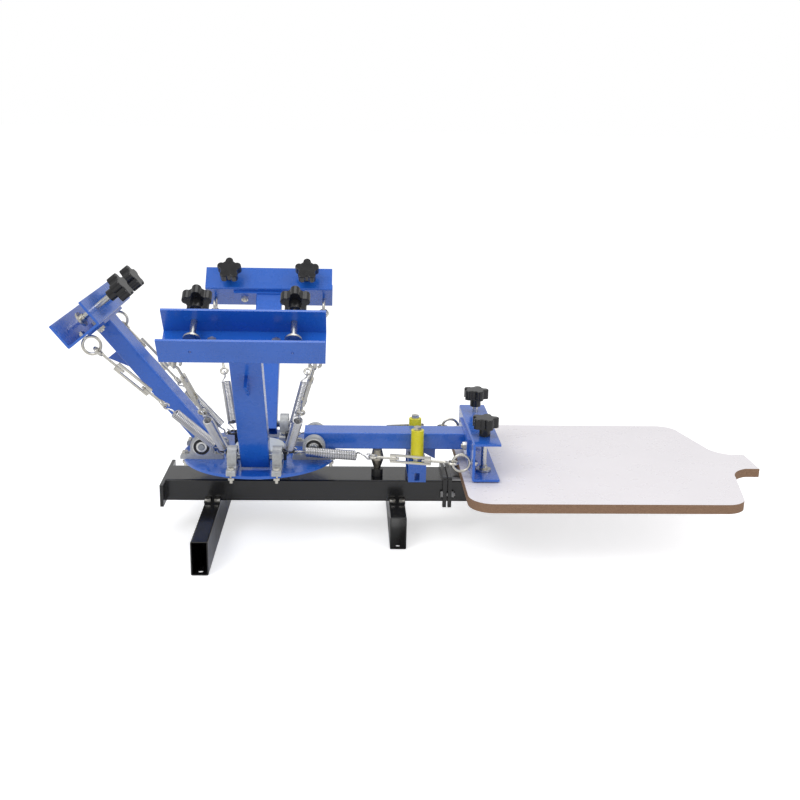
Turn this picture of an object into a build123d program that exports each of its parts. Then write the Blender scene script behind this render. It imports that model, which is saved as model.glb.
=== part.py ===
"""Tabletop screen printing press: a beam on two feet, a turntable with four hinged arms, one pallet.

Millimetres, +Z up. The origin is the middle of the left foot's lower face. +X runs along the beam
towards the pallet, +Y runs away from the front of the press. Each arm is drawn in its own frame:
X outwards along the arm from its pivot, Y along the pivot shaft, Z up when the arm is down.
"""

import math
import os

from build123d import *

# Base: beam, end bar and feet
foot_height = 60.0
foot_width = 29.0
foot_wall = 2.0
foot_corner = 3.0
left_foot_length = 454.0
right_foot_length = 236.0
right_foot_x = 331.0
foot_hole_radius = 4.5
foot_hole_inset = 13.0
beam_width = 80.0
beam_height = 40.0
beam_wall = 2.5
beam_corner = 3.0
beam_start_x = -83.0
beam_end_x = 562.0
end_bar_thickness = 6.0
end_bar_length = 142.0
lug_reach = 15.0
lug_thickness = 3.0
foot_bolt_spacing = 17.0
foot_bolt_inset = 7.0

# Turntable
turntable_x = 82.0
disc_rise = 36.0
disc_radius = 137.5
disc_thickness = 5.0
hub_radius = 45.0
hub_height = 14.0
hub_round = 3.0
hub_roof = 3.0
post_flange_radius = 38.0
post_flange_height = 8.0
post_radius = 24.0
spindle_radius = 12.0
running_fit = 0.05
seat_gap = 0.3

# Pillow blocks, two for each arm
pivot_radius = 99.0
pivot_height = 22.5
block_offset = 38.5
block_length = 76.0
block_width = 16.0
block_foot_height = 9.0
block_housing_radius = 20.0
block_fillet = 4.0
block_bolt_spacing = 60.0
bearing_radius = 16.0
bearing_race_radius = 9.3
bearing_seal_radius = 14.2
bearing_race_proud = 1.0
bearing_seal_sunk = 1.0
shaft_radius = 6.0
shaft_proud = 1.5

# Arms
arm_headings = {"right": 0.0, "far": 90.0, "left": 180.0, "near": 270.0}
arm_lifts = {"right": 0.0, "far": 50.6, "left": 51.0, "near": 56.0}
arm_width = 50.0
arm_height = 30.0
arm_wall = 2.5
arm_corner = 2.6
arm_rise = 6.0
arm_tail = 18.0
arm_reach = 270.0
end_plate_width = 140.0
end_plate_height = 36.0
end_plate_thickness = 5.0
tab_thickness = 5.0
tab_depth = 25.0
tab_heel_depth = 4.5
tab_root = 172.0
tab_heel = 182.0
tab_toe = 220.0

# Clamp heads
head_width = 250.0
head_height = 68.0
head_centre_z = -0.5
head_depth = 48.0
head_wall = 4.0
head_corner = 3.0
head_bolt_offset = 49.0
screw_offset = 76.0
screw_setback = 25.0
flange_hole_radius = 2.5
eye_offset = 108.0
eye_centre_reach = 257.0
eye_height = -6.0
eye_ring_radius = 15.0
eye_wire_radius = 2.5
eye_shank_radius = 3.0

# Clamp screws: height of each pad above the lower flange, first at -Y then at +Y of its arm
pad_lifts = {"right": (0.5, 11.0), "far": (4.0, 4.0), "left": (14.0, 28.5), "near": (20.0, 20.0)}
stud_radius = 5.0
stud_fit = 0.1
stud_length = 64.7
stud_tip_radius = 3.5
stud_in_knob = 20.0
pad_radius = 13.5
pad_thickness = 3.5
pad_neck_radius = 7.0
pad_height = 9.5
pad_floor = 1.5
knob_radius = 24.0
knob_core_radius = 17.0
knob_lobe_radius = 7.5
knob_lobes = 5
knob_thickness = 18.0
knob_hub_radius = 10.0
knob_hub_height = 15.0
knob_round = 2.0
knob_flute_round = 3.0

# Spring linkage
anchor_offset = 54.0
anchor_height = 19.0
anchor_ring_radius = 10.0
anchor_wire_radius = 2.0
anchor_post_radius = 4.0
spring_wire_radius = 1.5
spring_radius = 7.5
spring_turns = 12
hook_radius = 5.0
hook_lead = 18.0
turnbuckle_hook_radius = 8.5
turnbuckle_wire_radius = 2.25
turnbuckle_hook_to_frame = 38.0
turnbuckle_frame_length = 72.0
turnbuckle_boss_radius = 5.0
turnbuckle_boss_length = 11.0
turnbuckle_bar_width = 5.0
turnbuckle_bar_height = 3.5
turnbuckle_height = 15.0
turnbuckle_thread_overlap = 16.0
turnbuckle_eye_radius = 6.5
turnbuckle_frame_to_eye = 30.0
thread_fit = 0.05

# Gate: bracket, rollers and their pins
gate_x = 365.5
gate_bracket_length = 32.0
gate_bracket_width = 96.0
gate_bracket_height = 37.0
gate_bracket_wall = 3.0
gate_bracket_shift = 0.5
gate_notch_width = 9.0
gate_notch_height = 14.0
roller_radius = 11.5
roller_length = 51.0
roller_gap = 0.5
roller_bore_fit = 0.1
roller_nut_height = 6.5

# Arm stop
stop_x = 295.0
stop_y = -9.0
stop_base_radius = 10.5
stop_base_height = 13.0
stop_waist_radius = 5.5
stop_top_radius = 11.5
stop_top_height = 49.5
stop_shoulder_height = 34.0
stop_rim_half = 3.0
stop_crown_radius = 8.5

# Pallet and what holds it
pallet_start_x = 443.0
pallet_length = 550.0
pallet_width = 450.0
pallet_thickness = 16.0
pallet_top_height = 126.5
pallet_start_round = 40.0
pallet_end_round = 38.0
pallet_body_length = 429.0
pallet_body_corner_y = 190.0
pallet_shoulder_x = 467.0
pallet_neck_length = 489.0
pallet_neck_corner_x = 524.0
pallet_neck_y = 88.0
pallet_tongue_width = 82.0
support_fork_gap = 0.2
support_end_x = 552.0
support_thickness = 4.0
support_slot_width = 7.0
support_slot_length = 18.0
support_slot_offset = 26.0
support_slot_inset = 4.0
cross_bar_width = 30.0
cross_bar_length = 300.0
cross_bar_positions = (462.0, 532.0)
fork_x = 421.2
fork_thickness = 6.6
fork_gap = 2.6
fork_clearance = 0.3
fork_leg_width = 10.0
fork_crown_height = 9.0
fork_bottom_height = 52.7
fork_bolt_height = 75.7

# Fasteners: shank radius, head height and width across flats
m6 = {"radius": 3.0, "head": 4.0, "flats": 10.0}
m8 = {"radius": 4.0, "head": 5.5, "flats": 13.0}
bolt_hole_fit = 0.3
tip_proud = 2.5
block_bolt_tip = 5.5
foot_bolt_tip = 5.0

# Heights and places worked out from the sizes above
beam_top = foot_height + beam_height
disc_bottom = beam_top + disc_rise
disc_top = disc_bottom + disc_thickness
pivot_z = disc_top + pivot_height
anchor_z = disc_top + anchor_height
web_face = arm_reach + end_plate_thickness
head_bottom_z = head_centre_z - head_height / 2
head_top_z = head_centre_z + head_height / 2
flange_top_z = head_bottom_z + head_wall
screw_reach = web_face + screw_setback
roller_offset = arm_width / 2 + roller_gap + roller_radius
gate_top = beam_top + gate_bracket_height
roller_bottom = gate_top + roller_nut_height + roller_gap
gate_centre_x = gate_x + gate_bracket_shift
pallet_bottom = pallet_top_height - pallet_thickness
hinge_reach = anchor_offset + anchor_ring_radius
support_start_x = fork_x + fork_thickness + fork_gap / 2 + support_fork_gap

names = list(arm_headings)


# Frames
def arm_frame(name, lift=None):
    """The plane of one arm: origin on its pivot, X outwards along the arm, Z up when it is down."""
    turn = math.radians(arm_headings[name])
    tilt = math.radians(arm_lifts[name] if lift is None else lift)
    outwards = Vector(math.cos(turn), math.sin(turn), 0)
    up = Vector(0, 0, 1)
    pivot = Vector(turntable_x, 0, pivot_z) + outwards * pivot_radius
    along = outwards * math.cos(tilt) + up * math.sin(tilt)
    over = up * math.cos(tilt) - outwards * math.sin(tilt)
    return Plane(origin=pivot, x_dir=along, z_dir=over)


def across(plane, x):
    """A section plane at x: its X is the frame's Y, its Y is the frame's Z."""
    return Plane(origin=plane.from_local_coords((x, 0, 0)), x_dir=plane.y_dir, z_dir=plane.x_dir)


def beside(plane, y=0.0):
    """A side plane at y: its X is the frame's X, its Y is the frame's Z, and it faces -Y."""
    return Plane(origin=plane.from_local_coords((0, y, 0)), x_dir=plane.x_dir, z_dir=-plane.y_dir)


def cross_axis(plane):
    """The frame's Y axis."""
    return Axis(plane.origin, plane.y_dir)


def beam_frame(x=0.0, y=0.0, z=0.0):
    return Plane(origin=(x, y, z))


def eye_point(name, lift=None):
    """Centre of the head's eye rings in the arm's upright middle plane."""
    plane = arm_frame(name, lift)
    return plane.from_local_coords((eye_centre_reach, 0, eye_height))


def hinge_point(name):
    """Where the springs' hooks hang on the anchors, in the arm's upright middle plane."""
    turn = math.radians(arm_headings[name])
    return Vector(turntable_x, 0, anchor_z) + Vector(math.cos(turn), math.sin(turn), 0) * hinge_reach


def linkage_reach(name, lift=None):
    """From the anchor hinge to where the turnbuckle bears on the eye ring, in the middle plane."""
    return (eye_point(name, lift) - hinge_point(name)).length - eye_ring_radius


def linkage_frame(name):
    """Origin on the anchor hinge, X towards the eye rings in the middle plane, Y along the shaft."""
    towards = (eye_point(name) - hinge_point(name)).normalized()
    plane = arm_frame(name)
    return Plane(origin=hinge_point(name), x_dir=towards, z_dir=towards.cross(plane.y_dir))


def side_frame(name, side):
    """One spring's own frame: X runs from the anchor ring to the eye ring on that side."""
    middle = linkage_frame(name)
    start = middle.from_local_coords((0, side * anchor_offset, 0))
    finish = middle.from_local_coords((linkage_reach(name), side * eye_offset, 0))
    return Plane(origin=start, x_dir=(finish - start).normalized(), z_dir=middle.z_dir)


def side_length(name):
    return math.hypot(linkage_reach(name), eye_offset - anchor_offset)


# Fasteners
def bolt(plane, z_seat, z_tip, size):
    """A hexagon bolt: the head stands on z_seat and the shank runs to z_tip."""
    direction = 1 if z_seat > z_tip else -1
    with BuildPart() as piece:
        with BuildSketch(plane.offset(z_seat)):
            RegularPolygon(size["flats"] / 2, 6, major_radius=False, rotation=30)
        extrude(amount=direction * size["head"])
        with BuildSketch(plane.offset(z_tip)):
            Circle(size["radius"])
        extrude(amount=z_seat - z_tip)
    return piece.part


def nut(plane, z, size, direction, height=None):
    """A hexagon nut that starts at z of the plane and grows in the direction."""
    amount = direction * (height or size["head"])
    with BuildPart() as piece:
        with BuildSketch(plane.offset(z)):
            RegularPolygon(size["flats"] / 2, 6, major_radius=False, rotation=30)
            Circle(size["radius"] + thread_fit, mode=Mode.SUBTRACT)
        extrude(amount=amount)
    return piece.part


def solids_of(*pieces):
    return [solid for piece in pieces for solid in piece.solids()]


def keep(shape, name):
    """Label a finished piece, or a group of separate solids, and write it."""
    shape.label = name
    export_step(shape, f"parts/{name}.step")
    return shape


def group(name, pieces):
    return keep(Compound(children=solids_of(*pieces)), name)


# Wire paths
def arc_middle(start, control, finish):
    """Middle point of the arc from start to finish whose end tangents meet at control."""
    centre = (start + finish) / 2
    half_chord = (finish - start).length / 2
    rise = (control - centre).length
    half_turn = math.atan2(rise, half_chord)
    return centre + (control - centre) * (half_chord * math.tan(half_turn / 2) / rise)


def biarc(start, start_way, finish, finish_way):
    """Two arcs that leave start along start_way and reach finish along finish_way."""
    chord = finish - start
    bend = 2 * (start_way.dot(finish_way) - 1)
    slope = -2 * chord.dot(start_way + finish_way)
    length = chord.dot(chord)
    if abs(bend) < 1e-9:
        reach = -length / slope
    else:
        reach = (-slope - math.sqrt(slope * slope - 4 * bend * length)) / (2 * bend)
    first = start + start_way * reach
    second = finish - finish_way * reach
    middle = (first + second) / 2
    arcs = []
    for a, b, c in ((start, first, middle), (middle, second, finish)):
        if (b - (a + c) / 2).length < 1e-6:
            arcs.append((a, None, c))
        else:
            arcs.append((a, arc_middle(a, b, c), c))
    return arcs


def arc_radius(a, b, c):
    if b is None:
        return math.inf
    area = (b - a).cross(c - a).length / 2
    return (b - a).length * (c - b).length * (c - a).length / (4 * area)


def wire_through(stations):
    """The arcs of one unbroken wire through (point, direction) stations."""
    arcs = []
    for (a, a_way), (b, b_way) in zip(stations, stations[1:]):
        if (b - a).cross(a_way).length < 1e-6 and a_way.cross(b_way).length < 1e-6:
            arcs.append((a, None, b))
        else:
            arcs.extend(biarc(a, a_way, b, b_way))
    return arcs


def draw_arcs(arcs):
    """Draw the arcs inside the open BuildLine block."""
    for a, b, c in arcs:
        if b is None:
            Line(a, c)
        else:
            ThreePointArc(a, b, c)


def hook_stations(radius, x_centre, facing, plane_axis):
    """A hook whose loop is centred at x_centre on the X axis; facing +1 opens at the far end.

    The list starts on the X axis, where the wire still runs along X, and ends at the hook's tip.
    """
    entry = math.radians(55)
    bend_radius = radius * math.sin(math.radians(35)) / (1 - math.cos(entry))
    neck = radius * math.cos(math.radians(35)) + bend_radius * math.sin(entry)
    stations = [(Vector(x_centre - facing * neck, 0, 0), Vector(facing, 0, 0))]
    for step in range(4):
        angle = math.radians(215 + step * 285 / 3)
        place = Vector(math.cos(angle) * facing, 0, math.sin(angle)) * radius
        way = Vector(-math.sin(angle) * facing, 0, math.cos(angle))
        if plane_axis == "y":
            place = Vector(place.X, place.Z, 0)
            way = Vector(way.X, way.Z, 0)
        stations.append((Vector(x_centre, 0, 0) + place, way))
    return stations


def reverse(stations):
    return [(point, -way) for point, way in reversed(stations)]


def helix_stations(x_start, x_end, turns):
    """Half-turn stations of the coil, from its first point to its last."""
    pitch = (x_end - x_start) / turns
    rise = pitch / (2 * math.pi * spring_radius)
    stations = []
    for step in range(2 * turns + 1):
        angle = step * math.pi
        y = spring_radius * math.cos(angle)
        z = spring_radius * math.sin(angle)
        way = Vector(rise, -math.sin(angle), math.cos(angle)).normalized()
        stations.append((Vector(x_start + pitch * step / 2, y, z), way))
    return stations


def placed(stations, plane):
    """Local stations moved into a frame."""
    out = []
    for point, way in stations:
        end = plane.from_local_coords(point + way)
        start = plane.from_local_coords(point)
        out.append((start, (end - start).normalized()))
    return out


def sample_arcs(arcs, step=0.5):
    """Points along the wire with their distance from its start."""
    points = []
    travelled = 0.0
    for a, b, c in arcs:
        edge = Line(a, c, mode=Mode.PRIVATE) if b is None else ThreePointArc(a, b, c, mode=Mode.PRIVATE)
        count = max(2, int(edge.length / step))
        for index in range(count):
            point = edge.position_at(index / count)
            points.append((travelled + edge.length * index / count, point.X, point.Y, point.Z))
        travelled += edge.length
    return points, travelled


def least_gap(points, wire_radius):
    """Least free distance between parts of the wire more than a third of a coil turn apart."""
    apart = 2 * math.pi * spring_radius / 3
    best = math.inf
    for index, (here, x, y, z) in enumerate(points):
        for there, u, v, w in points[index + 1:]:
            if there - here > apart:
                best = min(best, (x - u) ** 2 + (y - v) ** 2 + (z - w) ** 2)
    return math.sqrt(best) - 2 * wire_radius


# Base pieces
def make_base_beam():
    """The beam tube, the bar welded across its end and the lugs that the feet bolt to."""
    section = Plane(origin=(beam_start_x, 0, foot_height + beam_height / 2), x_dir=(0, 1, 0), z_dir=(1, 0, 0))
    with BuildPart() as beam:
        with BuildSketch(section):
            RectangleRounded(beam_width, beam_height, beam_corner)
            Rectangle(beam_width - 2 * beam_wall, beam_height - 2 * beam_wall, mode=Mode.SUBTRACT)
        extrude(amount=beam_end_x - beam_start_x)
        with BuildSketch(section):
            Rectangle(end_bar_length, beam_height)
        extrude(amount=-end_bar_thickness)
        with BuildSketch(Plane.XY.offset(foot_height)):
            for foot_x in (0, right_foot_x):
                for side in (-1, 1):
                    with Locations((foot_x, side * (beam_width / 2 + lug_reach / 2 - beam_corner / 2))):
                        Rectangle(foot_width, lug_reach + beam_corner)
        extrude(amount=lug_thickness)
        with BuildSketch(Plane.XY.offset(foot_height)):
            with Locations(*foot_bolt_places()):
                Circle(m6["radius"] + bolt_hole_fit)
        extrude(amount=lug_thickness, mode=Mode.SUBTRACT)
        with BuildSketch(Plane.XY.offset(foot_height)):
            with Locations((gate_centre_x, 0)):
                Circle(m8["radius"] + bolt_hole_fit)
            with Locations(stop_point()):
                Circle(m8["radius"] + bolt_hole_fit)
        extrude(amount=beam_height, mode=Mode.SUBTRACT)
    return keep(beam.part, "base_beam")


def foot_bolt_places():
    places = []
    for foot_x in (0, right_foot_x):
        for side in (-1, 1):
            for step in (-0.5, 0.5):
                y = side * (beam_width / 2 + foot_bolt_inset)
                places.append((foot_x + step * foot_bolt_spacing, y))
    return places


def stop_point():
    return (stop_x, stop_y)


def make_foot(name, x, length):
    """An open-ended rectangular tube across the beam, with a hole in its floor near each end."""
    section = Plane(origin=(x, -length / 2, foot_height / 2), x_dir=(-1, 0, 0), z_dir=(0, 1, 0))
    with BuildPart() as foot:
        with BuildSketch(section):
            RectangleRounded(foot_width, foot_height, foot_corner)
            Rectangle(foot_width - 2 * foot_wall, foot_height - 2 * foot_wall, mode=Mode.SUBTRACT)
        extrude(amount=length)
        with BuildSketch(Plane.XY):
            with Locations((x, length / 2 - foot_hole_inset), (x, foot_hole_inset - length / 2)):
                Circle(foot_hole_radius)
        extrude(amount=foot_wall, mode=Mode.SUBTRACT)
        with BuildSketch(Plane.XY.offset(foot_height - foot_wall)):
            with Locations(*[place for place in foot_bolt_places() if abs(place[0] - x) < foot_width]):
                Circle(m6["radius"] + thread_fit)
        extrude(amount=foot_wall, mode=Mode.SUBTRACT)
    return keep(foot.part, name)


def make_foot_bolts():
    """Bolts that hold the beam's lugs to the feet, screwed into the feet."""
    pieces = []
    for x, y in foot_bolt_places():
        pieces.append(bolt(beam_frame(x, y, foot_height), lug_thickness, -foot_wall - foot_bolt_tip, m6))
    return group("foot_bolts", pieces)


def make_pivot_post():
    """The flanged post on the beam, with the spindle that the turntable turns on."""
    with BuildPart() as post:
        with BuildSketch(Plane.XY.offset(beam_top)):
            with Locations((turntable_x, 0)):
                Circle(post_flange_radius)
        extrude(amount=post_flange_height)
        with BuildSketch(Plane.XY.offset(beam_top + post_flange_height)):
            with Locations((turntable_x, 0)):
                Circle(post_radius)
        extrude(amount=disc_rise - post_flange_height - seat_gap)
        with BuildSketch(Plane.XY.offset(disc_bottom - seat_gap)):
            with Locations((turntable_x, 0)):
                Circle(spindle_radius)
        extrude(amount=disc_thickness + hub_height - hub_roof)
    return keep(post.part, "pivot_post")


# Turntable pieces
def block_bolt_places():
    """Bolt places of every pillow block, in plan."""
    places = []
    for name in names:
        plane = arm_frame(name, 0.0)
        for side in (-1, 1):
            for end in (-0.5, 0.5):
                point = plane.from_local_coords((end * block_bolt_spacing, side * block_offset, 0))
                places.append((point.X, point.Y))
    return places


def anchor_places():
    """Centre of each anchor ring and of the post beside it, in plan."""
    places = []
    for x_side, y_side in ((1, -1), (1, 1), (-1, 1), (-1, -1)):
        inset = anchor_offset - anchor_ring_radius / math.sqrt(2)
        ring = (turntable_x + x_side * anchor_offset, y_side * anchor_offset)
        post = (turntable_x + x_side * inset, y_side * inset)
        places.append((ring, post))
    return places


def make_turntable_disc():
    with BuildPart() as disc:
        with BuildSketch(Plane.XY.offset(disc_bottom)):
            with Locations((turntable_x, 0)):
                Circle(disc_radius)
                Circle(spindle_radius + running_fit, mode=Mode.SUBTRACT)
            with Locations(*block_bolt_places()):
                Circle(m6["radius"] + bolt_hole_fit, mode=Mode.SUBTRACT)
            with Locations(*[post for ring, post in anchor_places()]):
                Circle(anchor_post_radius + bolt_hole_fit, mode=Mode.SUBTRACT)
        extrude(amount=disc_thickness)
    return keep(disc.part, "turntable_disc")


def make_turntable_hub():
    """The boss in the middle of the disc, bored from below for the spindle."""
    with BuildPart() as hub:
        with BuildSketch(Plane.XY.offset(disc_top)):
            with Locations((turntable_x, 0)):
                Circle(hub_radius)
        extrude(amount=hub_height)
        fillet(hub.edges().group_by(Axis.Z)[-1], hub_round)
        with BuildSketch(Plane.XY.offset(disc_top)):
            with Locations((turntable_x, 0)):
                Circle(spindle_radius + running_fit)
        extrude(amount=hub_height - hub_roof + seat_gap, mode=Mode.SUBTRACT)
    return keep(hub.part, "turntable_hub")


def pillow_block(plane, side):
    """One cast block: a foot with two bolt holes and a round housing."""
    middle = beside(plane, side * block_offset)
    foot_z = -pivot_height + block_foot_height / 2
    with BuildPart() as block:
        with BuildSketch(middle):
            Circle(block_housing_radius)
            with Locations((0, foot_z)):
                Rectangle(block_length, block_foot_height)
            with Locations((0, -pivot_height / 2)):
                Rectangle(2 * block_housing_radius, pivot_height)
            Circle(bearing_radius, mode=Mode.SUBTRACT)
        extrude(amount=block_width / 2, both=True)
        with BuildSketch(plane.offset(-pivot_height)):
            with Locations((block_bolt_spacing / 2, side * block_offset), (-block_bolt_spacing / 2, side * block_offset)):
                Circle(m6["radius"] + bolt_hole_fit)
        extrude(amount=block_foot_height, mode=Mode.SUBTRACT)
        across_edges = block.edges().filter_by(cross_axis(plane))
        corners = [
            edge
            for edge in across_edges
            if abs(abs(plane.to_local_coords(edge.center()).X) - block_housing_radius) < 0.1
            and abs(plane.to_local_coords(edge.center()).Z - foot_z - block_foot_height / 2) < 0.1
        ]
        fillet(corners, block_fillet)
        ends = [
            edge
            for edge in block.edges().filter_by(cross_axis(plane))
            if abs(abs(plane.to_local_coords(edge.center()).X) - block_length / 2) < 0.1
            and plane.to_local_coords(edge.center()).Z > foot_z
        ]
        fillet(ends, block_fillet)
    return block.part


def block_bearing(plane, side):
    """A ball bearing: its inner race stands proud and its seal is sunk."""
    middle = beside(plane, side * block_offset)
    half = block_width / 2
    with BuildPart() as bearing:
        with BuildSketch(middle):
            Circle(bearing_radius - running_fit)
            Circle(shaft_radius + running_fit, mode=Mode.SUBTRACT)
        extrude(amount=half, both=True)
        with BuildSketch(middle):
            Circle(bearing_race_radius)
            Circle(shaft_radius + running_fit, mode=Mode.SUBTRACT)
        extrude(amount=half + bearing_race_proud, both=True)
        for face, direction in ((half, -1), (-half, 1)):
            with BuildSketch(middle.offset(face)):
                Circle(bearing_seal_radius)
                Circle(bearing_race_radius, mode=Mode.SUBTRACT)
            extrude(amount=direction * bearing_seal_sunk, mode=Mode.SUBTRACT)
    return bearing.part


def make_block_bolts():
    """Pillow block bolts and their nuts under the disc."""
    pieces = []
    for x, y in block_bolt_places():
        plane = beam_frame(x, y, disc_bottom)
        pieces.append(bolt(plane, disc_thickness + block_foot_height, -m6["head"] - block_bolt_tip, m6))
        pieces.append(nut(plane, 0, m6, -1))
    return group("block_bolts", pieces)


def make_spring_anchors():
    """Four posts through the disc, each with a level ring that two springs hook into."""
    pieces = []
    for ring, post in anchor_places():
        with BuildPart() as anchor:
            with BuildSketch(Plane.XY.offset(disc_bottom - m8["head"] - tip_proud)):
                with Locations(post):
                    Circle(anchor_post_radius)
            extrude(amount=anchor_z + anchor_wire_radius - disc_bottom + m8["head"] + tip_proud)
            with Locations((*ring, anchor_z)):
                Torus(anchor_ring_radius, anchor_wire_radius)
        pieces.append(anchor.part)
        pieces.append(nut(beam_frame(*post, disc_bottom), 0, m8, -1))
    return group("spring_anchors", pieces)


# Arm pieces
def make_arm(name):
    """The arm tube with its end plate, its locating tab and the cross hole for the shaft."""
    plane = arm_frame(name)
    bottom = arm_rise - arm_height / 2
    with BuildPart() as arm:
        with BuildSketch(across(plane, -arm_tail)):
            with Locations((0, arm_rise)):
                RectangleRounded(arm_width, arm_height, arm_corner)
                Rectangle(arm_width - 2 * arm_wall, arm_height - 2 * arm_wall, mode=Mode.SUBTRACT)
        extrude(amount=arm_tail + arm_reach)
        with BuildSketch(across(plane, arm_reach)):
            with Locations((0, arm_rise)):
                Rectangle(end_plate_width, end_plate_height)
            with Locations((head_bolt_offset, arm_rise), (-head_bolt_offset, arm_rise)):
                Circle(m8["radius"] + bolt_hole_fit, mode=Mode.SUBTRACT)
        extrude(amount=end_plate_thickness)
        with BuildSketch(beside(plane)):
            with BuildLine():
                Polyline(
                    (tab_root, bottom + arm_wall / 2),
                    (tab_root, bottom),
                    (tab_heel, bottom - tab_heel_depth),
                    (tab_toe, bottom - tab_depth),
                    (tab_toe, bottom + arm_wall / 2),
                    close=True,
                )
            make_face()
        extrude(amount=tab_thickness / 2, both=True)
        with BuildSketch(beside(plane)):
            Circle(shaft_radius + running_fit)
        extrude(amount=arm_width, both=True, mode=Mode.SUBTRACT)
    return keep(arm.part, f"arm_{name}")


def make_head(name):
    """The channel that grips the screen frame: a web and two flanges."""
    plane = arm_frame(name)
    with BuildPart() as head:
        with BuildSketch(beside(plane)):
            with Locations((web_face + head_depth / 2, head_centre_z)):
                Rectangle(head_depth, head_height)
            with Locations((web_face + head_wall + head_depth / 2, head_centre_z)):
                Rectangle(head_depth, head_height - 2 * head_wall, mode=Mode.SUBTRACT)
        extrude(amount=head_width / 2, both=True)
        back = [
            edge
            for edge in head.edges().filter_by(cross_axis(plane))
            if abs(plane.to_local_coords(edge.center()).X - web_face) < 0.1
        ]
        fillet(back, head_corner)
        with BuildSketch(across(plane, web_face)):
            with Locations((head_bolt_offset, arm_rise), (-head_bolt_offset, arm_rise)):
                Circle(m8["radius"] + bolt_hole_fit)
            with Locations((eye_offset, eye_height), (-eye_offset, eye_height)):
                Circle(eye_shank_radius + bolt_hole_fit)
        extrude(amount=head_wall, mode=Mode.SUBTRACT)
        with BuildSketch(plane.offset(head_top_z)):
            with Locations((screw_reach, screw_offset), (screw_reach, -screw_offset)):
                Circle(stud_radius + stud_fit)
        extrude(amount=-head_wall, mode=Mode.SUBTRACT)
        with BuildSketch(plane.offset(head_bottom_z)):
            with Locations((screw_reach, screw_offset), (screw_reach, -screw_offset)):
                Circle(flange_hole_radius)
        extrude(amount=head_wall, mode=Mode.SUBTRACT)
    return keep(head.part, f"head_{name}")


def eye_bolt(plane, side):
    """A ring in the arm's upright plane, with a shank through the head's web."""
    shank_start = eye_centre_reach + eye_ring_radius
    with BuildPart() as eye:
        with Locations(beside(plane, side * eye_offset)):
            with Locations((eye_centre_reach, eye_height, 0)):
                Torus(eye_ring_radius, eye_wire_radius)
        with BuildSketch(across(plane, shank_start)):
            with Locations((side * eye_offset, eye_height)):
                Circle(eye_shank_radius)
        extrude(amount=web_face + head_wall + m6["head"] + tip_proud - shank_start)
    return eye.part


def make_head_hardware(name):
    """Ring bolts and the bolts that hold the head on the end plate, all with their nuts."""
    plane = arm_frame(name)
    pieces = []
    for side in (-1, 1):
        pieces.append(eye_bolt(plane, side))
        eye_axis = Plane(
            origin=plane.from_local_coords((0, side * eye_offset, eye_height)),
            x_dir=plane.y_dir,
            z_dir=plane.x_dir,
        )
        pieces.append(nut(eye_axis, web_face + head_wall, m6, 1))
        bolt_axis = Plane(
            origin=plane.from_local_coords((0, side * head_bolt_offset, arm_rise)),
            x_dir=plane.y_dir,
            z_dir=plane.x_dir,
        )
        pieces.append(bolt(bolt_axis, web_face + head_wall, arm_reach - m8["head"] - tip_proud, m8))
        pieces.append(nut(bolt_axis, arm_reach, m8, -1))
    return group(f"head_hardware_{name}", pieces)


def make_shaft(name):
    """The pivot shaft through the arm and both bearings."""
    half = block_offset + block_width / 2 + bearing_race_proud + shaft_proud
    with BuildPart() as shaft:
        with BuildSketch(beside(arm_frame(name))):
            Circle(shaft_radius)
        extrude(amount=half, both=True)
        chamfer(shaft.edges().filter_by(GeomType.CIRCLE), 1.0)
    return keep(shaft.part, f"pivot_shaft_{name}")


def screw_frame(name, index):
    """Axis of one clamp screw: origin on the pad's lower face, Z up the stud."""
    plane = arm_frame(name)
    side = (-1, 1)[index]
    lift = pad_lifts[name][index]
    origin = plane.from_local_coords((screw_reach, side * screw_offset, flange_top_z + lift))
    return Plane(origin=origin, x_dir=plane.x_dir, z_dir=plane.z_dir)


def make_pad(name, index):
    """The swivel pad on the end of a clamp screw."""
    plane = screw_frame(name, index)
    with BuildPart() as pad:
        with BuildSketch(plane):
            Circle(pad_radius)
        extrude(amount=pad_thickness)
        with BuildSketch(plane.offset(pad_thickness)):
            Circle(pad_neck_radius)
        extrude(amount=pad_height - pad_thickness)
        with BuildSketch(plane.offset(pad_floor)):
            Circle(stud_tip_radius + stud_fit)
        extrude(amount=pad_height, mode=Mode.SUBTRACT)
    return keep(pad.part, f"clamp_pad_{name}_{index + 1}")


def make_knob(name, index):
    """The star knob and its threaded stud: two solids that turn together."""
    plane = screw_frame(name, index)
    tip = pad_floor + seat_gap
    shoulder = pad_height + seat_gap
    with BuildPart() as stud:
        with BuildSketch(plane.offset(tip)):
            Circle(stud_tip_radius)
        extrude(amount=shoulder - tip)
        with BuildSketch(plane.offset(shoulder)):
            Circle(stud_radius)
        extrude(amount=stud_length + stud_in_knob - shoulder)
    with BuildPart() as star:
        with BuildSketch(plane.offset(stud_length + knob_hub_height)) as outline:
            Circle(knob_core_radius)
            with PolarLocations(knob_radius - knob_lobe_radius, knob_lobes):
                Circle(knob_lobe_radius)
            fillet(outline.vertices(), knob_flute_round)
        extrude(amount=knob_thickness)
        fillet(star.faces().sort_by(Axis(plane.origin, plane.z_dir))[-1].edges(), knob_round)
        with BuildSketch(plane.offset(stud_length)):
            Circle(knob_hub_radius)
        extrude(amount=knob_hub_height)
        with BuildSketch(plane.offset(stud_length)):
            Circle(stud_radius + thread_fit)
        extrude(amount=stud_in_knob + seat_gap, mode=Mode.SUBTRACT)
    return group(f"clamp_knob_{name}_{index + 1}", [star.part, stud.part])


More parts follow.
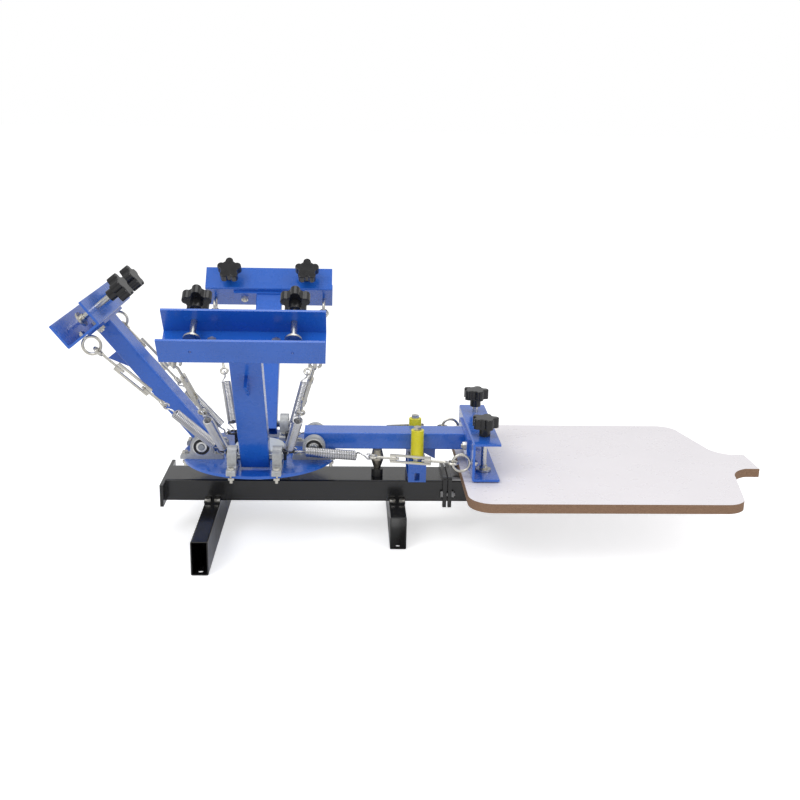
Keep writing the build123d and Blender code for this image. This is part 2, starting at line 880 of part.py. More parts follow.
# Spring linkage pieces
def spring_stations(length):
    """One spring in its own frame: hook, coil and hook, from tip to tip."""
    eye_wire = length - turnbuckle_length()
    slack = hook_radius - spring_wire_radius - seat_gap
    first = reverse(hook_stations(hook_radius, slack - anchor_wire_radius, -1, "z"))
    last = hook_stations(hook_radius, eye_wire - slack + turnbuckle_wire_radius, 1, "z")
    first_neck = first[-1][0].X
    last_neck = last[0][0].X
    coil = helix_stations(first_neck + hook_lead / 2, last_neck - hook_lead / 2, spring_turns)
    return first + coil + last


def turnbuckle_length():
    """From where the spring's hook bears on the eye to where the hook bears on the head's ring."""
    frame = turnbuckle_hook_to_frame + turnbuckle_frame_length
    return frame + turnbuckle_frame_to_eye + turnbuckle_eye_radius


def make_springs(name):
    """Both springs of an arm, each one unbroken wire."""
    pieces = []
    for side in (-1, 1):
        plane = side_frame(name, side)
        arcs = wire_through(placed(spring_stations(side_length(name)), plane))
        with BuildPart() as spring:
            with BuildLine() as path:
                draw_arcs(arcs)
            start, way = placed(spring_stations(side_length(name)), plane)[0]
            with BuildSketch(Plane(origin=start, z_dir=way)):
                Circle(spring_wire_radius)
            sweep(path=path.wires()[0])
        pieces.append(spring.part)
    points, length = sample_arcs(arcs)
    tightest = min(arc_radius(*arc) for arc in arcs)
    gap = least_gap(points, spring_wire_radius)
    section = math.pi * spring_wire_radius**2
    print(f"springs_{name}: least gap {gap:.2f}, tightest arc {tightest:.2f}, wire {length:.0f}")
    print(f"  volume {pieces[-1].volume:.0f}, section times length {section * length:.0f}")
    return group(f"springs_{name}", pieces)


def turnbuckle(plane, length):
    """Frame, hook bolt and eye bolt of one turnbuckle: three solids."""
    frame_end = length - turnbuckle_hook_to_frame
    frame_start = frame_end - turnbuckle_frame_length
    eye_x = frame_start - turnbuckle_frame_to_eye
    bar_z = (turnbuckle_height - turnbuckle_bar_height) / 2
    with BuildPart() as frame:
        for start in (frame_start, frame_end - turnbuckle_boss_length):
            with BuildSketch(across(plane, start)):
                Circle(turnbuckle_boss_radius)
                Rectangle(turnbuckle_bar_width, turnbuckle_height)
            extrude(amount=turnbuckle_boss_length)
        with BuildSketch(across(plane, frame_start)):
            with Locations((0, bar_z), (0, -bar_z)):
                Rectangle(turnbuckle_bar_width, turnbuckle_bar_height)
        extrude(amount=turnbuckle_frame_length)
        with BuildSketch(across(plane, frame_start)):
            Circle(turnbuckle_wire_radius + thread_fit)
        extrude(amount=turnbuckle_frame_length, mode=Mode.SUBTRACT)
    rod_start = frame_end - turnbuckle_thread_overlap
    stations = hook_stations(turnbuckle_hook_radius, length, 1, "y")
    stations = placed([(Vector(rod_start, 0, 0), Vector(1, 0, 0))] + stations, plane)
    with BuildPart() as hook:
        with BuildLine() as path:
            draw_arcs(wire_through(stations))
        with BuildSketch(across(plane, rod_start)):
            Circle(turnbuckle_wire_radius)
        sweep(path=path.wires()[0])
    with BuildPart() as eye:
        with Locations(plane):
            with Locations((eye_x, 0, 0)):
                Torus(turnbuckle_eye_radius, turnbuckle_wire_radius)
        with BuildSketch(across(plane, eye_x + turnbuckle_eye_radius)):
            Circle(turnbuckle_wire_radius)
        extrude(amount=frame_start + turnbuckle_thread_overlap - eye_x - turnbuckle_eye_radius)
    return [frame.part, hook.part, eye.part]


def make_turnbuckles(name):
    pieces = []
    for side in (-1, 1):
        pieces.extend(turnbuckle(side_frame(name, side), side_length(name)))
    return group(f"turnbuckles_{name}", pieces)


# Gate and stop
def make_gate_bracket():
    """A short length of rectangular tube across the beam, open along the beam."""
    middle = Plane(origin=(gate_centre_x, 0, beam_top), x_dir=(0, 1, 0), z_dir=(1, 0, 0))
    wall = gate_bracket_wall
    with BuildPart() as bracket:
        with BuildSketch(middle):
            with Locations((0, gate_bracket_height / 2)):
                Rectangle(gate_bracket_width, gate_bracket_height)
                Rectangle(gate_bracket_width - 2 * wall, gate_bracket_height - 2 * wall, mode=Mode.SUBTRACT)
        extrude(amount=gate_bracket_length / 2, both=True)
        fillet(bracket.edges().filter_by(Axis.X).group_by(Axis.Z)[-1], wall / 2)
        with BuildSketch(Plane.XZ.offset(-gate_bracket_width / 2)):
            with Locations((gate_centre_x, beam_top + wall + gate_notch_height / 2)):
                Rectangle(gate_notch_width, gate_notch_height)
        extrude(amount=gate_bracket_width, mode=Mode.SUBTRACT)
        with BuildSketch(Plane.XY.offset(gate_top)):
            with Locations((gate_x, roller_offset), (gate_x, -roller_offset)):
                Circle(m8["radius"] + thread_fit)
        extrude(amount=-wall, mode=Mode.SUBTRACT)
        with BuildSketch(Plane.XY.offset(beam_top)):
            with Locations((gate_centre_x, 0)):
                Circle(m8["radius"] + bolt_hole_fit)
        extrude(amount=wall, mode=Mode.SUBTRACT)
    return keep(bracket.part, "gate_bracket")


def make_roller(name, side):
    with BuildPart() as roller:
        with BuildSketch(Plane.XY.offset(roller_bottom)):
            with Locations((gate_x, side * roller_offset)):
                Circle(roller_radius)
                Circle(m8["radius"] + roller_bore_fit, mode=Mode.SUBTRACT)
        extrude(amount=roller_length)
    return keep(roller.part, name)


def make_gate_bolts():
    """Roller pins with a nut above and below the bracket, and the bracket's bolt to the beam."""
    pieces = []
    pin_top = roller_bottom + roller_length + roller_gap
    for side in (-1, 1):
        plane = beam_frame(gate_x, side * roller_offset, 0)
        nut_below = gate_top - gate_bracket_wall
        pieces.append(bolt(plane, pin_top, nut_below - m8["head"] - tip_proud, m8))
        pieces.append(nut(plane, gate_top, m8, 1, roller_nut_height))
        pieces.append(nut(plane, nut_below, m8, -1))
    plane = beam_frame(gate_centre_x, 0, 0)
    bolt_tip = beam_top + gate_bracket_wall + m8["head"] + tip_proud
    pieces.append(bolt(plane, foot_height, bolt_tip, m8))
    pieces.append(nut(plane, beam_top + gate_bracket_wall, m8, 1))
    return group("gate_bolts", pieces)


def make_arm_stop():
    """The bumper under the lowered arm: a black foot, and a screw with a wide metal top."""
    plane = beam_frame(stop_x, stop_y, beam_top)
    with BuildPart() as foot:
        with BuildSketch(plane):
            Circle(stop_base_radius)
            Circle(m8["radius"] + thread_fit, mode=Mode.SUBTRACT)
        extrude(amount=stop_base_height)
    upright = Plane(origin=plane.origin, x_dir=(1, 0, 0), z_dir=(0, -1, 0))
    with BuildPart() as screw:
        with BuildSketch(upright):
            with BuildLine():
                Polyline(
                    (0, stop_base_height),
                    (stop_waist_radius, stop_base_height),
                    (stop_top_radius, stop_shoulder_height - stop_rim_half),
                    (stop_top_radius, stop_shoulder_height + stop_rim_half),
                    (stop_crown_radius, stop_top_height),
                    (0, stop_top_height),
                    close=True,
                )
            make_face()
        revolve(axis=Axis(plane.origin, (0, 0, 1)))
        with BuildSketch(plane.offset(-beam_height - m8["head"] - tip_proud)):
            Circle(m8["radius"])
        extrude(amount=beam_height + m8["head"] + tip_proud + stop_base_height)
    lock = nut(plane, -beam_height, m8, -1)
    return group("arm_stop", [foot.part, screw.part, lock])


# Pallet
def make_pallet_board():
    """The printing board: rounded at the start, narrowing to a tongue at the end."""
    half = pallet_width / 2
    tongue = pallet_tongue_width / 2
    with BuildPart() as board:
        with BuildSketch(Plane(origin=(pallet_start_x, 0, pallet_bottom))):
            with BuildLine() as outline:
                Line((0, 0), (0, half - pallet_start_round))
                RadiusArc((0, half - pallet_start_round), (pallet_start_round, half), pallet_start_round)
                Line((pallet_start_round, half), (pallet_body_length, half))
                RadiusArc((pallet_body_length, half), (pallet_shoulder_x, pallet_body_corner_y), pallet_end_round)
                Line((pallet_shoulder_x, pallet_body_corner_y), (pallet_neck_length, pallet_neck_y))
                RadiusArc((pallet_neck_length, pallet_neck_y), (pallet_neck_corner_x, tongue), -55)
                Line((pallet_neck_corner_x, tongue), (pallet_length, tongue))
                Line((pallet_length, tongue), (pallet_length, 0))
                mirror(outline.line, about=Plane.XZ)
            make_face()
        extrude(amount=pallet_thickness)
    return keep(board.part, "pallet_board")


def make_pallet_support():
    """The slotted plate on the beam and the two bars across it that carry the board."""
    length = support_end_x - support_start_x
    middle_x = (support_start_x + support_end_x) / 2
    with BuildPart() as support:
        with BuildSketch(Plane.XY.offset(beam_top)):
            with Locations((middle_x, 0)):
                Rectangle(length, beam_width)
            with Locations(
                (support_start_x + support_slot_length / 2 + support_slot_inset, support_slot_offset),
                (support_start_x + support_slot_length / 2 + support_slot_inset, -support_slot_offset),
            ):
                SlotOverall(support_slot_length, support_slot_width, mode=Mode.SUBTRACT)
        extrude(amount=support_thickness)
        with BuildSketch(Plane.XY.offset(beam_top + support_thickness)):
            for x in cross_bar_positions:
                with Locations((x, 0)):
                    Rectangle(cross_bar_width, cross_bar_length)
        extrude(amount=pallet_bottom - beam_top - support_thickness)
    return keep(support.part, "pallet_support")


def fork_positions():
    step = fork_thickness + fork_gap
    return (fork_x - step / 2, fork_x + step / 2)


def make_support_forks():
    """Two fork plates that straddle the beam and are drawn together by the clamp bolts."""
    pieces = []
    inner = beam_width / 2 + fork_clearance
    outer = inner + fork_leg_width
    top = beam_top + fork_clearance
    for x in fork_positions():
        face = Plane(origin=(x, 0, 0), x_dir=(0, 1, 0), z_dir=(1, 0, 0))
        with BuildPart() as fork:
            with BuildSketch(face):
                with Locations((0, (top + fork_crown_height + fork_bottom_height) / 2)):
                    Rectangle(2 * outer, top + fork_crown_height - fork_bottom_height)
                with Locations((0, (top + fork_bottom_height) / 2)):
                    Rectangle(2 * inner, top - fork_bottom_height, mode=Mode.SUBTRACT)
                for side in (-1, 1):
                    with Locations((side * (inner + outer) / 2, fork_bolt_height)):
                        Circle(m6["radius"] + bolt_hole_fit, mode=Mode.SUBTRACT)
            extrude(amount=fork_thickness / 2, both=True)
            outer_edges = fork.edges().filter_by(Axis.X).group_by(Axis.Z)[-1]
            fillet(outer_edges, fork_crown_height / 2)
        pieces.append(fork.part)
    return group("support_forks", pieces)


def make_support_bolts():
    """The clamp bolts through both forks, near and far, with their nuts."""
    first, last = fork_positions()
    seat = first - fork_thickness / 2
    finish = last + fork_thickness / 2
    pieces = []
    for side in (-1, 1):
        y = side * (beam_width / 2 + fork_clearance + fork_leg_width / 2)
        plane = Plane(origin=(0, y, fork_bolt_height), x_dir=(0, 1, 0), z_dir=(1, 0, 0))
        pieces.append(bolt(plane, seat, finish + m6["head"] + tip_proud, m6))
        pieces.append(nut(plane, finish, m6, 1))
    return group("support_bolts", pieces)


def make_press():
    os.makedirs("parts", exist_ok=True)
    made = [
        make_base_beam(),
        make_foot("foot_left", 0.0, left_foot_length),
        make_foot("foot_right", right_foot_x, right_foot_length),
        make_foot_bolts(),
        make_pivot_post(),
        make_turntable_disc(),
        make_turntable_hub(),
        make_block_bolts(),
        make_spring_anchors(),
        make_gate_bracket(),
        make_roller("guide_roller_near", -1),
        make_roller("guide_roller_far", 1),
        make_gate_bolts(),
        make_arm_stop(),
        make_pallet_board(),
        make_pallet_support(),
        make_support_forks(),
        make_support_bolts(),
    ]
    blocks = []
    bearings = []
    for name in names:
        level = arm_frame(name, 0.0)
        for side in (-1, 1):
            blocks.append(pillow_block(level, side))
            bearings.append(block_bearing(level, side))
    made.append(group("pillow_blocks", blocks))
    made.append(group("block_bearings", bearings))
    for name in names:
        made.append(make_arm(name))
        made.append(make_head(name))
        made.append(make_head_hardware(name))
        made.append(make_shaft(name))
        made.append(make_springs(name))
        made.append(make_turnbuckles(name))
        for index in (0, 1):
            made.append(make_pad(name, index))
            made.append(make_knob(name, index))
    return made


press = make_press()
print(len(press), "nodes")
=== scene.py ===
"""Looks of the tabletop screen printing press: materials, close-wound springs, stage, lights and camera.

Metres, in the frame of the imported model: +X towards the printing board, +Z up.
"""

import math

import bmesh
import bpy
from mathutils import Matrix, Vector


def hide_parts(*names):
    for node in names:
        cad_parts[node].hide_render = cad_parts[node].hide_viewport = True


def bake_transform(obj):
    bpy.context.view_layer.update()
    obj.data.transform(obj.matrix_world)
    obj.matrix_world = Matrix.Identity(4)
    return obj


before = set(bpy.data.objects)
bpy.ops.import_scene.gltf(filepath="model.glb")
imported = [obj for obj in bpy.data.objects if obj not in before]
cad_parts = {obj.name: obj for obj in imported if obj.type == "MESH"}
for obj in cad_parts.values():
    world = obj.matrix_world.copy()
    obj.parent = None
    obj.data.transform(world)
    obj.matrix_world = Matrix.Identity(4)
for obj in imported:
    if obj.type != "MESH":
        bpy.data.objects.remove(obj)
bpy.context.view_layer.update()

# The linkage, as in the solids
TURNTABLE = Vector((0.082, 0, 0))
PIVOT_REACH = 0.099
PIVOT_Z = 0.1635
HINGE_REACH = 0.064
HINGE_Z = 0.160
EYE_REACH = 0.257
EYE_RISE = -0.006
EYE_RING = 0.015
ANCHOR_OFFSET = 0.054
EYE_OFFSET = 0.108
TURNBUCKLE = 0.1465
HEADINGS = {"right": 0.0, "far": 90.0, "left": 180.0, "near": 270.0}
LIFTS = {"right": 0.0, "far": 50.6, "left": 51.0, "near": 56.0}

# The clamp screws
SCREW_REACH = 0.300
SCREW_OFFSET = 0.076
STUD_EDGE = 0.0052

# The bearings' black seal lies between these distances from the shaft's axis
SEAL_INNER = 0.00935
SEAL_OUTER = 0.0143

# The arm stop is black up to this height
STOP_FOOT_TOP = 0.1131

# The springs
WIRE = 0.00148
COIL_RADIUS = 0.0075
COIL_TURNS = 29
COIL_PITCH = 0.00306
HOOK_RADIUS = 0.005
FIRST_HOOK = 0.0012
LAST_HOOK_BACK = 0.00095
WIRE_SIDES = 10
COIL_SHIFT = 0.001
TURN_STEPS = 24
NECK_STEPS = 12
HOOK_STEPS = 28
HOOK_TIP_ANGLE = 500
HOOK_SWEEP = 285

# The stage
FLOOR_REACH = 30.0
FLOOR_GLOW = 0.55
WORLD_STRENGTH = 0.6
BACKDROP_STRENGTH = 1.0

# Each lamp's name, place, target, diameter and power
LAMPS = (
    ("key", (-1.2, -1.6, 2.4), (0.3, 0, 0.15), 1.6, 30.0),
    ("fill", (2.2, -1.2, 1.6), (0.3, 0, 0.15), 1.8, 13.0),
    ("top", (0.3, 0.6, 2.6), (0.3, 0, 0.1), 1.8, 14.0),
)

# The camera: place in metres, angles in radians, lens and sensor in millimetres
CAMERA_PLACE = (0.2435, -1.8484, 0.7515)
CAMERA_YAW = 0.0493
CAMERA_PITCH = 0.2697
CAMERA_ROLL = 0.0216
CAMERA_LENS = 47.84
CAMERA_SENSOR = 36.0

# The Mix node's sockets for its first value, its second value and its result
MIX_SOCKETS = {"RGBA": (6, 7, 2), "FLOAT": (2, 3, 0)}


# Materials
def node(tree, kind, **inputs):
    made = tree.nodes.new(kind)
    for name, value in inputs.items():
        made.inputs[name.replace("_", " ")].default_value = value
    return made


def noise(tree, scale, detail=3.0, stretch=(1.0, 1.0, 1.0)):
    """Noise on the object's own coordinates, so it stays on the piece when the piece moves."""
    coordinates = tree.nodes.new("ShaderNodeTexCoord")
    made = node(tree, "ShaderNodeTexNoise", Scale=scale, Detail=detail)
    mapping = tree.nodes.new("ShaderNodeMapping")
    mapping.inputs["Scale"].default_value = stretch
    tree.links.new(coordinates.outputs["Object"], mapping.inputs["Vector"])
    tree.links.new(mapping.outputs["Vector"], made.inputs["Vector"])
    return made.outputs["Fac"]


def ramp(tree, value, stops):
    """Colours at places along the value."""
    made = tree.nodes.new("ShaderNodeValToRGB")
    elements = made.color_ramp.elements
    while len(elements) < len(stops):
        elements.new(0.5)
    for element, (place, colour) in zip(elements, stops):
        element.position = place
        element.color = (*colour, 1.0)
    tree.links.new(value, made.inputs["Fac"])
    return made.outputs["Color"]


def span(tree, value, low, high):
    """The value's middle range spread from low to high."""
    made = tree.nodes.new("ShaderNodeMapRange")
    made.inputs["From Min"].default_value = 0.3
    made.inputs["From Max"].default_value = 0.7
    made.inputs["To Min"].default_value = low
    made.inputs["To Max"].default_value = high
    tree.links.new(value, made.inputs["Value"])
    return made.outputs["Result"]


def start_material(name):
    made = bpy.data.materials.new(name)
    made.use_nodes = True
    tree = made.node_tree
    return made, tree, tree.nodes["Principled BSDF"]


def bump(tree, shader, height, strength, distance):
    made = tree.nodes.new("ShaderNodeBump")
    made.inputs["Strength"].default_value = strength
    made.inputs["Distance"].default_value = distance
    tree.links.new(height, made.inputs["Height"])
    tree.links.new(made.outputs["Normal"], shader.inputs["Normal"])


def shade(colour, factor):
    return tuple(min(1.0, channel * factor) for channel in colour)


def paint(name, colour, rough=(0.22, 0.34), coat=0.5):
    """Sprayed enamel: faint mottling, orange peel and patches of duller gloss."""
    made, tree, shader = start_material(name)
    mottle = noise(tree, 14.0, 3.0)
    stops = [(0.3, shade(colour, 0.93)), (0.7, shade(colour, 1.05))]
    tree.links.new(ramp(tree, mottle, stops), shader.inputs["Base Color"])
    tree.links.new(span(tree, noise(tree, 45.0, 4.0), *rough), shader.inputs["Roughness"])
    shader.inputs["Coat Weight"].default_value = coat
    shader.inputs["Coat Roughness"].default_value = 0.1
    bump(tree, shader, noise(tree, 300.0, 2.0), 0.05, 0.0002)
    return made


def metal(name, colour, rough=(0.24, 0.42), scale=140.0, strength=0.06):
    """Bare or plated metal with a fine grain and patches of tarnish."""
    made, tree, shader = start_material(name)
    patches = noise(tree, 30.0, 4.0)
    stops = [(0.3, shade(colour, 0.84)), (0.55, colour), (0.8, shade(colour, 1.1))]
    tree.links.new(ramp(tree, patches, stops), shader.inputs["Base Color"])
    shader.inputs["Metallic"].default_value = 1.0
    grain = noise(tree, scale, 5.0)
    tree.links.new(span(tree, grain, *rough), shader.inputs["Roughness"])
    bump(tree, shader, grain, strength, 0.0002)
    return made


def plastic(name, colour, rough):
    """Moulded plastic with a fine pebble and handling marks."""
    made, tree, shader = start_material(name)
    marks = noise(tree, 40.0, 6.0)
    stops = [(0.3, shade(colour, 0.9)), (0.7, colour)]
    tree.links.new(ramp(tree, marks, stops), shader.inputs["Base Color"])
    tree.links.new(span(tree, noise(tree, 90.0, 4.0), *rough), shader.inputs["Roughness"])
    bump(tree, shader, noise(tree, 900.0, 2.0), 0.08, 0.0002)
    return made


def cast(name, colour):
    """Cast iron under thin grey enamel: a pebbled skin."""
    made, tree, shader = start_material(name)
    skin = noise(tree, 260.0, 6.0)
    stops = [(0.3, shade(colour, 0.8)), (0.7, shade(colour, 1.06))]
    tree.links.new(ramp(tree, skin, stops), shader.inputs["Base Color"])
    shader.inputs["Metallic"].default_value = 0.35
    tree.links.new(span(tree, noise(tree, 80.0, 4.0), 0.34, 0.5), shader.inputs["Roughness"])
    bump(tree, shader, skin, 0.35, 0.0008)
    return made


def above(tree, value, limit):
    made = tree.nodes.new("ShaderNodeMath")
    made.operation = "GREATER_THAN"
    made.inputs[1].default_value = limit
    tree.links.new(value, made.inputs[0])
    return made.outputs["Value"]


def object_axes(tree, output="Object"):
    coordinates = tree.nodes.new("ShaderNodeTexCoord")
    split = tree.nodes.new("ShaderNodeSeparateXYZ")
    tree.links.new(coordinates.outputs[output], split.inputs["Vector"])
    return split.outputs


def mix(tree, factor, low, high, data="RGBA"):
    """Low where the factor is 0, high where it is 1; each is a socket or a constant."""
    made = tree.nodes.new("ShaderNodeMix")
    made.data_type = data
    first, second, result = MIX_SOCKETS[data]
    tree.links.new(factor, made.inputs[0])
    for index, value in ((first, low), (second, high)):
        if isinstance(value, bpy.types.NodeSocket):
            tree.links.new(value, made.inputs[index])
        else:
            made.inputs[index].default_value = value
    return made.outputs[result]


def board_material():
    """White laminate on both faces, brown fibreboard on the edges."""
    made, tree, shader = start_material("laminated_board")
    up = object_axes(tree, "Normal")["Z"]
    steep = tree.nodes.new("ShaderNodeMath")
    steep.operation = "ABSOLUTE"
    tree.links.new(up, steep.inputs[0])
    face = above(tree, steep.outputs["Value"], 0.5)
    fibre_stops = [(0.3, (0.18, 0.10, 0.06)), (0.7, (0.34, 0.21, 0.13))]
    fibre = ramp(tree, noise(tree, 500.0, 8.0, (1.0, 1.0, 4.0)), fibre_stops)
    laminate_stops = [(0.3, (0.83, 0.80, 0.83)), (0.7, (0.85, 0.82, 0.85))]
    laminate = ramp(tree, noise(tree, 9.0, 4.0), laminate_stops)
    tree.links.new(mix(tree, face, fibre, laminate), shader.inputs["Base Color"])
    sheen = span(tree, noise(tree, 35.0, 5.0), 0.24, 0.36)
    tree.links.new(mix(tree, face, 0.8, sheen, "FLOAT"), shader.inputs["Roughness"])
    bump(tree, shader, noise(tree, 700.0, 3.0), 0.02, 0.0001)
    return made


def bearing_material():
    """Bright races and a black seal between them, by distance from each shaft's axis."""
    made, tree, shader = start_material("ball_bearing")
    axes = object_axes(tree)

    def maths(operation, *values):
        step = tree.nodes.new("ShaderNodeMath")
        step.operation = operation
        for index, value in enumerate(values):
            if isinstance(value, bpy.types.NodeSocket):
                tree.links.new(value, step.inputs[index])
            else:
                step.inputs[index].default_value = value
        return step.outputs["Value"]

    rise = maths("POWER", maths("SUBTRACT", axes["Z"], PIVOT_Z), 2.0)
    reaches = []
    for socket, middle in ((axes["X"], TURNTABLE.x), (axes["Y"], 0.0)):
        out = maths("SUBTRACT", maths("ABSOLUTE", maths("SUBTRACT", socket, middle)), PIVOT_REACH)
        reaches.append(maths("SQRT", maths("ADD", maths("POWER", out, 2.0), rise)))
    radius = maths("MINIMUM", reaches[0], reaches[1])
    seal = maths("MULTIPLY", above(tree, radius, SEAL_INNER), maths("LESS_THAN", radius, SEAL_OUTER))
    steel = ramp(tree, noise(tree, 90.0, 5.0), [(0.3, (0.5, 0.5, 0.5)), (0.7, (0.78, 0.78, 0.76))])
    tree.links.new(mix(tree, seal, steel, (0.014, 0.014, 0.015, 1.0)), shader.inputs["Base Color"])
    tree.links.new(mix(tree, seal, 1.0, 0.0, "FLOAT"), shader.inputs["Metallic"])
    tree.links.new(mix(tree, seal, 0.25, 0.5, "FLOAT"), shader.inputs["Roughness"])
    bump(tree, shader, noise(tree, 300.0, 3.0), 0.08, 0.0002)
    return made


def stop_material():
    """A black foot below, brassy plated steel above."""
    made, tree, shader = start_material("arm_stop_metal")
    top = above(tree, object_axes(tree)["Z"], STOP_FOOT_TOP)
    steel = ramp(tree, noise(tree, 80.0, 5.0), [(0.3, (0.32, 0.29, 0.24)), (0.7, (0.58, 0.54, 0.45))])
    rubber = ramp(tree, noise(tree, 200.0, 4.0), [(0.3, (0.01, 0.01, 0.01)), (0.7, (0.03, 0.03, 0.03))])
    tree.links.new(mix(tree, top, rubber, steel), shader.inputs["Base Color"])
    tree.links.new(mix(tree, top, 0.0, 1.0, "FLOAT"), shader.inputs["Metallic"])
    tree.links.new(span(tree, noise(tree, 120.0, 4.0), 0.28, 0.45), shader.inputs["Roughness"])
    bump(tree, shader, noise(tree, 400.0, 3.0), 0.15, 0.0003)
    return made


blue = paint("blue_enamel", (0.014, 0.12, 0.56), coat=0.6)
black = paint("black_enamel", (0.007, 0.007, 0.008), rough=(0.16, 0.26), coat=0.3)
pale = paint("grey_enamel", (0.56, 0.59, 0.60), rough=(0.3, 0.42), coat=0.2)
zinc = metal("zinc_plate", (0.66, 0.64, 0.58))
dull = metal("grey_steel", (0.30, 0.30, 0.30), rough=(0.35, 0.5))
bright = metal("spring_wire", (0.66, 0.66, 0.67), rough=(0.2, 0.26), scale=60.0, strength=0.0)
ground = metal("ground_shaft", (0.30, 0.32, 0.36), rough=(0.2, 0.34))
cast_grey = cast("cast_housing", (0.50, 0.51, 0.51))
knob_black = plastic("knob_plastic", (0.012, 0.012, 0.013), rough=(0.16, 0.28))
yellow = plastic("roller_plastic", (0.86, 0.78, 0.03), rough=(0.22, 0.34))

MATERIALS = {
    "turntable_disc": blue,
    "gate_bracket": blue,
    "base_beam": black,
    "foot_left": black,
    "foot_right": black,
    "support_forks": black,
    "spring_anchors": black,
    "turntable_hub": pale,
    "pillow_blocks": cast_grey,
    "block_bearings": bearing_material(),
    "block_bolts": zinc,
    "foot_bolts": zinc,
    "gate_bolts": zinc,
    "support_bolts": dull,
    "pallet_support": dull,
    "pivot_post": ground,
    "arm_stop": stop_material(),
    "guide_roller_near": yellow,
    "guide_roller_far": yellow,
    "pallet_board": board_material(),
}

# The first start that fits a node's name counts, so head_hardware_ stands before head_
STARTS = {
    "arm_": blue,
    "head_hardware_": zinc,
    "head_": blue,
    "pivot_shaft_": ground,
    "springs_": bright,
    "turnbuckles_": zinc,
    "clamp_pad_": zinc,
    "clamp_knob_": knob_black,
}


def material_for(name):
    if name in MATERIALS:
        return MATERIALS[name]
    return next(made for start, made in STARTS.items() if name.startswith(start))


stud_steel = metal("clamp_screw", (0.60, 0.60, 0.58), rough=(0.22, 0.36), scale=400.0)


def arm_axes(name):
    """The arm's pivot, and its directions outwards, up and along the shaft."""
    turn = math.radians(HEADINGS[name])
    tilt = math.radians(LIFTS[name])
    out = Vector((math.cos(turn), math.sin(turn), 0))
    up = Vector((0, 0, 1))
    along = out * math.cos(tilt) + up * math.sin(tilt)
    over = up * math.cos(tilt) - out * math.sin(tilt)
    pivot = TURNTABLE + out * PIVOT_REACH + up * PIVOT_Z
    return pivot, along, over, over.cross(along)


def mark_stud(name, mesh):
    """Faces of the knob node that lie on its stud take the second material."""
    arm, number = name.split("_")[2:]
    pivot, along, over, shaft = arm_axes(arm)
    side = -1 if number == "1" else 1
    screw = pivot + along * SCREW_REACH + shaft * side * SCREW_OFFSET
    near = []
    for vertex in mesh.vertices:
        away = vertex.co - screw
        near.append((away - over * away.dot(over)).length < STUD_EDGE)
    for face in mesh.polygons:
        face.material_index = 1 if all(near[index] for index in face.vertices) else 0


def dress(name, piece):
    """Put the node's material on it; the studs of the knobs are steel."""
    mesh = piece.data
    mesh.materials.clear()
    mesh.materials.append(material_for(name))
    if name.startswith("clamp_knob_"):
        mesh.materials.append(stud_steel)
        mark_stud(name, mesh)


for name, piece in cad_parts.items():
    dress(name, piece)


# Springs
def linkage(name):
    """The hinge point, the way to the eye rings, the shaft's direction and the length of the linkage."""
    turn = math.radians(HEADINGS[name])
    pivot, along, over, shaft = arm_axes(name)
    eye = pivot + along * EYE_REACH + over * EYE_RISE
    hinge = TURNTABLE + Vector((math.cos(turn), math.sin(turn), 0)) * HINGE_REACH + Vector((0, 0, HINGE_Z))
    return hinge, (eye - hinge).normalized(), shaft, (eye - hinge).length - EYE_RING


def side_axes(name, side):
    """One spring's start, its axes and its whole length up to the head's ring."""
    hinge, way, shaft, reach = linkage(name)
    start = hinge + shaft * side * ANCHOR_OFFSET
    finish = hinge + way * reach + shaft * side * EYE_OFFSET
    x_axis = (finish - start).normalized()
    z_axis = way.cross(shaft).normalized()
    y_axis = z_axis.cross(x_axis)
    return start, Matrix((x_axis, y_axis, z_axis)).transposed(), (finish - start).length


def hook_points(centre, facing):
    """A hook round centre on the X axis, from its tip to where it meets the neck."""
    points = []
    for step in range(HOOK_STEPS + 1):
        angle = math.radians(HOOK_TIP_ANGLE - step * HOOK_SWEEP / HOOK_STEPS)
        x = centre + facing * math.cos(angle) * HOOK_RADIUS
        points.append(Vector((x, 0, math.sin(angle) * HOOK_RADIUS)))
    return points


def bridge(a, a_way, b, b_way):
    """Points of a smooth curve between two ends, without the ends."""
    reach = (b - a).length
    points = []
    for step in range(1, NECK_STEPS):
        t = step / NECK_STEPS
        h1 = 2 * t**3 - 3 * t**2 + 1
        h2 = t**3 - 2 * t**2 + t
        h3 = -2 * t**3 + 3 * t**2
        h4 = t**3 - t**2
        points.append(a * h1 + a_way * reach * h2 + b * h3 + b_way * reach * h4)
    return points


def spring_line(length):
    """The wire's centre line in the spring's own axes: hook, close coil and hook."""
    eye_wire = length - TURNBUCKLE
    coil = COIL_TURNS * COIL_PITCH
    begin = (eye_wire - coil) / 2 - COIL_SHIFT
    first = hook_points(FIRST_HOOK, -1)
    last = list(reversed(hook_points(eye_wire - LAST_HOOK_BACK, 1)))
    turns = []
    for step in range(COIL_TURNS * TURN_STEPS + 1):
        angle = 2 * math.pi * step / TURN_STEPS
        x = begin + COIL_PITCH * step / TURN_STEPS
        turns.append(Vector((x, COIL_RADIUS * math.cos(angle), COIL_RADIUS * math.sin(angle))))
    first_way = (first[-1] - first[-2]).normalized()
    last_way = (last[1] - last[0]).normalized()
    coil_in = (turns[1] - turns[0]).normalized()
    coil_out = (turns[-1] - turns[-2]).normalized()
    neck_in = bridge(first[-1], first_way, turns[0], coil_in)
    neck_out = bridge(turns[-1], coil_out, last[0], last_way)
    return first + neck_in + turns + neck_out + last


